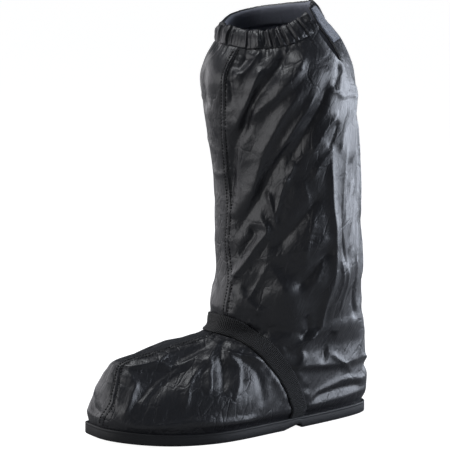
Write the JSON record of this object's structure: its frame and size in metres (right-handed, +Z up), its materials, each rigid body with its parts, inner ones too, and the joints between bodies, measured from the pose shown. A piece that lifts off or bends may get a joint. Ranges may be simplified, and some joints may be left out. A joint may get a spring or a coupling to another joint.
{
  "type": "boot cover",
  "caption": "Tall rain cover for a left boot: coated cloth shaft and foot with a gathered collar, rear flap and instep strap, on a shallow rubber cup sole.",
  "frame": {"origin": "on the floor, under the middle of the whole cover", "axes": "+Z up the shaft, -Y towards the toe, +X towards the outer side of this left boot cover"},
  "size_m": [0.1538, 0.327, 0.4344],
  "materials": {
    "sole_rubber": "satin moulded rubber, near black",
    "lining_cloth": "matt dark woven lining sheet",
    "coated_cloth": "black nylon with a semi-gloss waterproof coating, finely creased",
    "strap_webbing": "matt dark grey elastic webbing with fine cross ribs",
    "loop_tape": "grey-blue touch fastener loop tape, fuzzy"
  },
  "bodies": {
    "root": {"sole": "sole_rubber", "insole": "lining_cloth", "upper": "coated_cloth", "collar_casing": "coated_cloth", "instep_strap": "strap_webbing", "touch_strip": "loop_tape"}
  },
  "joints": []
}
